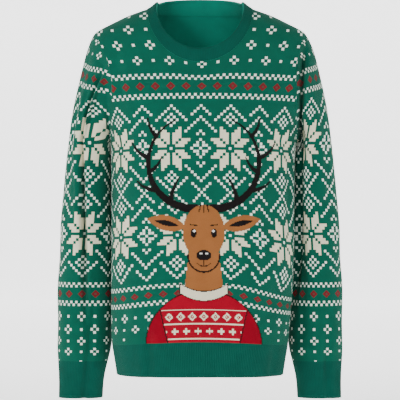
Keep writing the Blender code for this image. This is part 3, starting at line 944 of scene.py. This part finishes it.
def ring_maps(quads, rows, columns, across, down):
    """Corner places of a ring's quads. across and down are tables of one column
    more than the ring has, so that the last quad ends where the first begins."""
    places = np.stack([across, down], axis=2)
    row = np.arange(rows - 1)[:, None]
    column = np.arange(columns)[None, :]
    corners = [places[row, column], places[row, column + 1],
               places[row + 1, column + 1], places[row + 1, column]]
    corners = np.stack(corners, axis=2).reshape(-1, 4, 2)
    quad = quads[0]
    return corners if quad[0] == 0 else corners[:, ::-1]


def evened(field, rounds):
    for _ in range(rounds):
        field = (np.roll(field, 1, axis=0) + 2 * field + np.roll(field, -1, axis=0)) / 4
    return field


def eased(field, rounds):
    field = evened(field, rounds)
    return field / np.linalg.norm(field, axis=1)[:, None]


ring, way, around = spread_evenly(np.vstack([front_neckline, back_neckline]), BAND_STEPS)
ribs = round(around / RIB_PITCH)
side_of = np.where(ring[:, 1] > 0, BACKWARD, FORWARD)
front_normals, back_normals = body_normal(ring, FORWARD), body_normal(ring, BACKWARD)
seam_normals = eased(np.where((side_of == FORWARD)[:, None], front_normals, back_normals), 12)
tangents = eased(np.roll(ring, -1, axis=0) - np.roll(ring, 1, axis=0), 4)
lean = band_lean(ring)
rise = np.cross(seam_normals, tangents)
rise *= np.sign(np.sum(rise * lean, axis=1))[:, None]
rise = eased(rise / np.linalg.norm(rise, axis=1)[:, None] + BAND_TRUST * lean, BAND_EASING)
proud = (NECK_RIB - JERSEY) / 2
straight = ring + seam_normals * proud + rise * BAND_WIDTH
fold = straight.copy()
fold[:, 2] += BAND_LIFT * BAND_WIDTH + BACK_RISE * np.clip(ring[:, 1] / 0.06, 0, 1)
lift = evened(fold, TOP_EASING) - straight
rows = []
for row in range(BAND_ROWS + 1):
    t = row / BAND_ROWS
    place = ring + seam_normals * proud + rise * (SEAM_GAP + BAND_WIDTH * t)
    rows.append(place + lift * t * t)
points = np.vstack(rows)
quads = grid_quads(BAND_ROWS + 1, BAND_STEPS, closed=True, turned=False)
normals = vertex_normals(points, quads)
if normals[BAND_STEPS // 4] @ np.array([0, -1, 0]) < 0:
    quads = [tuple(reversed(quad)) for quad in quads]
    normals = -normals
turn = np.tile(2 * math.pi * ribs * way / around, BAND_ROWS + 1)
height = np.repeat(np.linspace(0, 1, BAND_ROWS + 1), BAND_STEPS)
relief = RIB_RELIEF * (np.cos(turn) - 1) * np.clip(np.minimum(height, 1 - height) / 0.12, 0.2, 1)
relief = relief - ROLL * np.clip((height - 0.88) / 0.12, 0, 1) ** 2
points = points + normals * relief[:, None]
columns = np.linspace(0, ribs, BAND_STEPS + 1)[None, :].repeat(BAND_ROWS + 1, axis=0)
down = np.linspace(0, BAND_WIDTH / RIB_ROW, BAND_ROWS + 1)[:, None].repeat(BAND_STEPS + 1, 1)
corners = ring_maps(quads, BAND_ROWS + 1, BAND_STEPS, columns, down)
ribbed = wool("ribbed_wool", rib_with_groove_shade, stitches=(2, 4), height=0.0003)
neckband = knit_wall("neck_rib_cloth", points, normals, quads, NECK_RIB,
                     (ribbed, inside_knit_painted_light), {"OFBake": corners, "knit": corners})
stand_in(neckband)

# ==== Sleeves =============================================================
# Knitted flat like the panels, closed along the underarm, the cap eased into
# the armhole; the left one hangs with a deep lengthwise fold down its front.
SLEEVE_TOP_Z, CUFF_TOP_Z, CUFF_Z = -0.252, -0.634, -0.702
SLEEVE_CLEARANCE = 0.0028
ARM_SQUARENESS = 2.2
CAP_ROWS, CAP_RINGS, ARM_RINGS = 150, 26, 96
ARM_PITCH = 0.00495        # width of a charted column round the sleeve
SEAM_COLUMN = -17          # column that lies on the outside of the arm
BIG_STAR_SHIFT = 10        # the big stars run down the middle of a sleeve

ARM_COLUMNS = ("z", "centre_x", "centre_y", "half_width", "half_depth")
ARM = (
    (-0.252, 0.2005, 0.024, 0.0395, 0.0640), (-0.320, 0.2040, 0.030, 0.0435, 0.0590),
    (-0.414, 0.2070, 0.037, 0.0480, 0.0520), (-0.500, 0.2090, 0.042, 0.0500, 0.0470),
    (-0.580, 0.2110, 0.044, 0.0495, 0.0420), (-0.615, 0.2120, 0.044, 0.0480, 0.0370),
    (-0.634, 0.2135, 0.044, 0.0455, 0.0320), (-0.665, 0.2160, 0.044, 0.0420, 0.0275),
    (-0.702, 0.2182, 0.044, 0.0398, 0.0248),
)
ARM_ROW_COLUMNS = ("z", "row")
ARM_ROWS = (
    (-0.2411, 15.0), (-0.2955, 25.0), (-0.4025, 45.0), (-0.4784, 60.0), (-0.5110, 67.0),
    (-0.5516, 75.0), (-0.5754, 79.0), (-0.5966, 83.0), (-0.6160, 87.0), (-0.6340, 91.0),
)
# What column and row of the sleeve's chart meets the front of the armhole.
CAP_SEAM_COLUMNS = ("z", "left", "right", "row")
CAP_SEAM = (
    (-0.041, -17.0, -17.0, -25.0), (-0.045, -12.0, -12.0, -24.0), (-0.062, -4.6, -5.0, -21.5),
    (-0.090, 3.0, 2.0, -16.5), (-0.124, 6.4, 5.2, -10.3), (-0.140, 7.0, 5.8, -7.0),
    (-0.156, 6.7, 6.2, -3.6), (-0.172, 6.0, 6.6, -0.2), (-0.205, 6.4, 8.6, 6.9),
    (-0.225, 9.4, 11.4, 11.0), (-0.240, 17.0, 17.0, 14.6),
)
# Charted columns by which a sleeve has turned on the arm, towards the body.
TWIST_COLUMNS = ("z", "left", "right")
TWIST = ((-0.252, 1.0, 5.2), (-0.330, 0.1, 3.5), (-0.400, -0.5, 2.2), (-0.634, -0.4, 1.0))
CAP_LEAN = {"left": (2.6, 2.5), "right": (0.0, 1.2)}   # most columns and rows that the cap leans
OUTER_ROWS = 0.05          # how much sooner the rows pass on the outside of the arm
# Folds along a sleeve; turn is 0 on the outside of the arm, 90 in front.
# Columns: sleeve, half-width in degrees, then the fold's path by z, turn and depth.
FOLDS = (
    ("left", 4.6, ((-0.215, 68, 0), (-0.262, 77, 0.016), (-0.320, 83, 0.021),
                   (-0.400, 88, 0.021), (-0.500, 92, 0.012), (-0.580, 96, 0))),
    ("left", 6.0, ((-0.245, 56, 0), (-0.310, 68, -0.0035), (-0.440, 74, 0))),
    ("left", 9.0, ((-0.130, 20, 0), (-0.250, 40, 0.0045), (-0.420, 46, 0))),
    ("left", 9.0, ((-0.470, 110, 0), (-0.600, 104, 0.006), (-0.702, 100, 0.006))),
    ("left", 12.0, ((-0.300, 222, 0), (-0.430, 226, 0.004), (-0.560, 222, 0))),
    ("left", 12.0, ((-0.160, 318, 0), (-0.300, 314, 0.004), (-0.470, 318, 0))),
    ("right", 15.0, ((-0.190, 150, 0), (-0.260, 148, 0.019), (-0.420, 146, 0.017),
                     (-0.560, 148, 0))),
    ("right", 12.0, ((-0.130, 52, 0), (-0.280, 56, 0.003), (-0.420, 50, 0))),
    ("right", 9.0, ((-0.330, 118, 0), (-0.460, 122, 0.0036), (-0.600, 120, 0))),
    ("right", 9.0, ((-0.520, 66, 0), (-0.620, 70, 0.0036), (-0.702, 72, 0.003))),
    ("right", 12.0, ((-0.280, 222, 0), (-0.400, 220, 0.004), (-0.540, 226, 0))),
    ("right", 12.0, ((-0.180, 322, 0), (-0.330, 318, 0.0042), (-0.490, 322, 0))),
    ("right", 10.0, ((-0.400, 270, 0), (-0.520, 268, 0.003), (-0.640, 270, 0))),
)
# How far the sleeve sinks in beside the front of the armhole, and how far out.
SINK = {"left": 0.003, "right": 0.021}
SINK_AWAY, SINK_REACH = 0.0125, 0.0090
# How far the cap runs straight on from the armhole, and up from the arm.
CAP_START, CAP_OUT, CAP_UP = 0.008, 0.055, 0.45
# Short slanting creases on the lower arm and at the crook of the elbow.
# Columns: sleeve, turn in degrees, z, slant, depth, height, half-width in degrees.
BUCKLES = (
    ("left", 60.0, -0.330, 900.0, 0.0020, 0.010, 38.0),
    ("left", 120.0, -0.402, -700.0, 0.0018, 0.010, 34.0),
    ("left", 160.0, -0.372, 600.0, 0.0024, 0.012, 40.0),
    ("left", 250.0, -0.345, 500.0, 0.0030, 0.013, 44.0),
    ("left", 290.0, -0.440, -800.0, 0.0026, 0.013, 46.0),
    ("right", 70.0, -0.345, -800.0, 0.0020, 0.011, 36.0),
    ("right", 116.0, -0.262, 700.0, 0.0022, 0.010, 34.0),
    ("right", 96.0, -0.462, 900.0, 0.0018, 0.010, 40.0),
    ("right", 246.0, -0.330, -600.0, 0.0030, 0.013, 44.0),
    ("right", 300.0, -0.425, 700.0, 0.0026, 0.012, 42.0),
)


def arm(name, z):
    return read(ARM, ARM_COLUMNS, name, z)


def body_half_width(y, z):
    """Half-width of the body where a sleeve passes it."""
    depth = np.where(y < 0, body("front_depth", z), body("back_depth", z))
    inside = np.maximum(0.0, 1 - np.abs(y / depth) ** SQUARENESS)
    return body("half_width", z) * inside ** (1 / SQUARENESS)


def press_of(sleeve, turn, z):
    """How far a sleeve's wall is pressed in at each place."""
    degrees = np.degrees(turn)
    total = UNEVEN * (np.sin(3 * turn + 41 * z) + np.sin(2 * turn - 57 * z + 1))
    for which, half_turn, path in FOLDS:
        if which == sleeve:
            level, middle, depth = np.array(path[::-1]).T
            away = (degrees - np.interp(z, level, middle) + 180) % 360 - 180
            deep = np.interp(z, level, depth, left=0.0, right=0.0)
            total = total + deep * np.exp(-(away / half_turn) ** 2)
    for which, turn_deg, level, slant, depth, tall, half_turn in BUCKLES:
        if which == sleeve:
            away = (degrees - turn_deg + 180) % 360 - 180
            off = (z - level - away / 1000 * slant / 1000) / tall
            total = total + depth * np.exp(-off ** 2 - (away / half_turn) ** 2)
    return total


def arm_points(sleeve, turn, z):
    """Points of the arm as if it were the right one, outwards along +X."""
    power = 2 / ARM_SQUARENESS
    across = np.copysign(np.abs(np.cos(turn)) ** power, np.cos(turn))
    forward = np.copysign(np.abs(np.sin(turn)) ** power, np.sin(turn))
    press = press_of(sleeve, turn, z) if sleeve else 0
    x = arm("centre_x", z) + (arm("half_width", z) - press) * across
    y = arm("centre_y", z) - (arm("half_depth", z) - press) * forward
    return np.stack([np.maximum(x, body_half_width(y, z) + SLEEVE_CLEARANCE), y,
                     np.broadcast_to(z, np.shape(x))], axis=-1)


def armhole_ring():
    """Seam points round the right armhole, from the armpit up the front."""
    levels = [ARMPIT_Z] + armhole_levels(CAP_ROWS)
    ring = [(body_point(edge_half_width(z), z, FORWARD), FORWARD) for z in levels]
    ring += [(body_point(edge_half_width(z), z, BACKWARD), BACKWARD)
             for z in reversed(levels[1:-1])]
    return ring


def sleeve_grid(sleeve):
    """Rings of points from the armhole to the cuff, and each point's column and row."""
    ring = armhole_ring()
    seam = np.array([point for point, _ in ring])
    count = len(seam)
    steps = np.linalg.norm(np.roll(seam, -1, axis=0) - seam, axis=1)
    travelled = np.concatenate([[0], np.cumsum(steps)[:-1]]) / steps.sum()
    turns = math.pi - 2 * math.pi * travelled
    tangents = np.roll(seam, -1, axis=0) - np.roll(seam, 1, axis=0)
    normals = np.vstack([body_normal(point, side) for point, side in ring])
    outward = np.cross(tangents, normals)
    outward /= np.linalg.norm(outward, axis=1)[:, None]
    start = seam + outward * SEAM_GAP
    end = arm_points(sleeve, turns, SLEEVE_TOP_Z)
    below = arm_points(sleeve, turns, SLEEVE_TOP_Z - 0.02)
    along = (end - below) / np.linalg.norm(end - below, axis=1)[:, None]
    drop = (start[:, 2] - SLEEVE_TOP_Z)[:, None]
    first = start + outward * (CAP_START + CAP_OUT * drop)
    second = end + along * (CAP_START + CAP_UP * drop)
    rings = []
    for index in range(CAP_RINGS + 1):
        t = index / CAP_RINGS
        point = (1 - t) ** 3 * start + 3 * t * (1 - t) ** 2 * first
        point = point + 3 * t * t * (1 - t) * second + t ** 3 * end
        if sleeve:
            out = point - np.array([arm("centre_x", SLEEVE_TOP_Z) - 0.02, 0.02, 0])
            out = out * np.array([1, 1, 0])
            out /= np.linalg.norm(out, axis=1)[:, None]
            share = 4 * t * (1 - t) if t < 0.5 else 1 - (2 * t - 1) ** 6
            press = press_of(sleeve, turns, np.maximum(point[:, 2], SLEEVE_TOP_Z))
            away = np.linalg.norm(point - start, axis=1)
            front = np.clip((np.degrees(turns) - 35) / 30, 0, 1)
            sunk = SINK[sleeve] * np.exp(-((away - SINK_AWAY) / SINK_REACH) ** 2) * front
            point = point - out * (press * share + sunk)[:, None]
        rings.append(point)
    for z in np.linspace(SLEEVE_TOP_Z, CUFF_TOP_Z + SEAM_GAP, ARM_RINGS + 1)[1:]:
        rings.append(arm_points(sleeve, turns, z))
    return np.array(rings), turns, normals


def sleeve_chart(sleeve, rings, turns):
    """Charted column and row of every place, with the first column said twice."""
    closed = np.concatenate([rings, rings[:, :1]], axis=1)
    lengths = np.linalg.norm(np.diff(closed, axis=1), axis=2)
    way = np.concatenate([np.zeros((len(rings), 1)), np.cumsum(lengths, axis=1)], axis=1)
    middle = int(np.argmin(np.abs(turns - math.pi / 2)))
    columns = (way[:, middle:middle + 1] - way) / ARM_PITCH
    front = np.maximum(0, np.sin(np.append(turns, -math.pi))) ** 0.6
    columns = columns - read(TWIST, TWIST_COLUMNS, sleeve, closed[:, :, 2]) * front
    rows = read(ARM_ROWS, ARM_ROW_COLUMNS, "row", closed[:, :, 2])
    top = CAP_RINGS
    seam = closed[0]
    back = np.arange(len(turns) + 1) > len(turns) // 2
    seam_column = read(CAP_SEAM, CAP_SEAM_COLUMNS, sleeve, seam[:, 2])
    seam_column = np.where(back, 2 * SEAM_COLUMN - seam_column, seam_column)
    seam_row = read(CAP_SEAM, CAP_SEAM_COLUMNS, "row", seam[:, 2])
    steps = np.linalg.norm(np.diff(closed[:top + 1], axis=0), axis=2)
    share = np.concatenate([np.zeros((1, len(turns) + 1)), np.cumsum(steps, axis=0)])
    share = share / share[-1]
    outside = np.maximum(0, np.cos(np.append(turns, -math.pi))) ** 2
    sooner = OUTER_ROWS * np.sin(math.pi * share) * outside
    columns[:top + 1] = seam_column + share * (columns[top] - seam_column)
    rows[:top + 1] = seam_row + (share + sooner) * (rows[top] - seam_row)
    swell = np.sin(math.pi * share) ** 2 * front
    columns[:top + 1] -= CAP_LEAN[sleeve][0] * swell
    rows[:top + 1] += CAP_LEAN[sleeve][1] * swell * share
    return columns, rows


def repeat_sleeve(tree, column, row):
    return fair_isle(column + BIG_STAR_SHIFT, row, SLEEVE_LAST_ROW)


def both_arms(sleeve, points, normals, quads, maps):
    """The same arrays where the left arm's are the right one's mirrored."""
    if sleeve == "right":
        return points, normals, quads, maps
    flip = np.array([-1, 1, 1])
    quads = [tuple(reversed(quad)) for quad in quads]
    return points * flip, normals * flip, quads, {k: v[:, ::-1] for k, v in maps.items()}


def outward_quads(points, rows, columns):
    """Quads and normals of a ring wall whose first column faces the body."""
    quads = grid_quads(rows, columns, closed=True, turned=False)
    normals = vertex_normals(points, quads)
    if normals[(rows - 2) * columns] @ np.array([-1, 0, 0]) < 0:
        quads = [tuple(reversed(quad)) for quad in quads]
        normals = -normals
    return quads, normals


jacquard_sleeve = wool("jacquard_sleeve", repeat_sleeve)
for arm_name in ("left", "right"):
    smooth, turns, seam_normals = sleeve_grid(None)
    columns, rows = sleeve_chart(arm_name, smooth, turns)
    rings, turns, seam_normals = sleeve_grid(arm_name)
    count = len(turns)
    points = rings.reshape(-1, 3)
    quads, normals = outward_quads(points, len(rings), count)
    normals[:count] = seam_normals
    across = np.linspace(0, 1, count + 1)[None, :].repeat(len(rings), axis=0)
    down = np.linspace(1, 0, len(rings))[:, None].repeat(count + 1, axis=1)
    maps = {"OFBake": ring_maps(quads, len(rings), count, across, down),
            "knit": ring_maps(quads, len(rings), count, columns, rows)}
    wall = both_arms(arm_name, points, normals, quads, maps)
    sleeve = knit_wall(f"sleeve_{arm_name}_cloth", *wall[:3], JERSEY,
                       (jacquard_sleeve, inside_knit_painted_light), wall[3])
    stand_in(sleeve)

# ==== Hem welts ===========================================================
# Fine rib picked up from the foot of each panel and cast off loosely; the side
# seams run on through it, and a fold or two comes down from the panel above.
RIB = 0.0028
WELT_ROWS, WELT_COLUMNS = 14, 720
CAST_OFF = 0.0022          # width of the cast-off edge
GROOVE, GROOVE_WIDTH = 0.0005, 0.0008      # over that edge


def welt_relief(place, height, above_foot):
    """Relief of a welt's ribs, which fade at both ends; place counts ribs."""
    relief = RIB_RELIEF * (np.cos(2 * math.pi * place) - 1)
    relief = relief * np.clip(np.minimum(height, 1 - height) / 0.06, 0.15, 1)
    return relief - GROOVE * np.exp(-((above_foot - CAST_OFF) / GROOVE_WIDTH) ** 2)


def hem_welt(name, side):
    places = np.linspace(-1, 1, WELT_COLUMNS + 1)
    levels = np.linspace(HEM_Z, HEM_TOP_Z, WELT_ROWS + 1)
    points = np.vstack([across_body(z, side, places, body("half_width", z))[0] for z in levels])
    reaches = np.tile(places, WELT_ROWS + 1)
    quads = grid_quads(WELT_ROWS + 1, WELT_COLUMNS + 1, closed=False, turned=side == BACKWARD)
    normals = body_normal(points, side)
    arc, _, _ = body_arc((HEM_Z + HEM_TOP_Z) / 2, side)
    count = round(2 * arc[-1] / RIB_PITCH)
    place = (reaches + 1) / 2 * count
    above_foot = points[:, 2] - HEM_Z
    relief = welt_relief(place, above_foot / (HEM_TOP_Z - HEM_Z), above_foot)
    knit = np.stack([place, (HEM_TOP_Z - points[:, 2]) / RIB_ROW], axis=1)
    corners = np.array(quads)
    maps = {"OFBake": np.stack([reaches, points[:, 2]], axis=1)[corners], "knit": knit[corners]}
    points = creased(points, normals, side) + normals * relief[:, None]
    piece = knit_wall(name + "_cloth", points, normals, quads, RIB, (ribbed, ribbed), maps)
    stand_in(piece)


hem_welt("hem_rib_front", FORWARD)
hem_welt("hem_rib_back", BACKWARD)

# ==== Cuffs ===============================================================
# Ribbed tubes picked up from the sleeve ends, narrower than the sleeve, with the
# same cast-off edge as the hem.
CUFF_ROWS, CUFF_STEPS = 14, 456

for arm_name in ("left", "right"):
    turns = np.linspace(math.pi, -math.pi, CUFF_STEPS, endpoint=False)
    levels = np.linspace(CUFF_TOP_Z, CUFF_Z, CUFF_ROWS + 1)
    rings = np.array([arm_points(arm_name, turns, z) for z in levels])
    points = rings.reshape(-1, 3)
    quads, normals = outward_quads(points, CUFF_ROWS + 1, CUFF_STEPS)
    closed = np.vstack([rings[0], rings[0][:1]])
    way = np.concatenate([[0], np.cumsum(np.linalg.norm(np.diff(closed, axis=0), axis=1))])
    ribs = round(way[-1] / RIB_PITCH)
    place = way / way[-1] * ribs
    height = np.repeat(np.linspace(1, 0, CUFF_ROWS + 1), CUFF_STEPS)
    relief = welt_relief(np.tile(place[:-1], CUFF_ROWS + 1), height, points[:, 2] - CUFF_Z)
    points = points + normals * relief[:, None]
    across = place[None, :].repeat(CUFF_ROWS + 1, axis=0)
    down = np.linspace(0, (CUFF_TOP_Z - CUFF_Z) / RIB_ROW, CUFF_ROWS + 1)
    down = down[:, None].repeat(CUFF_STEPS + 1, axis=1)
    corners = ring_maps(quads, CUFF_ROWS + 1, CUFF_STEPS, across, -down)
    knit = ring_maps(quads, CUFF_ROWS + 1, CUFF_STEPS, across, down)
    wall = both_arms(arm_name, points, normals, quads, {"OFBake": corners, "knit": knit})
    cuff = knit_wall(f"cuff_{arm_name}_cloth", *wall[:3], RIB, (ribbed, ribbed), wall[3])
    stand_in(cuff)
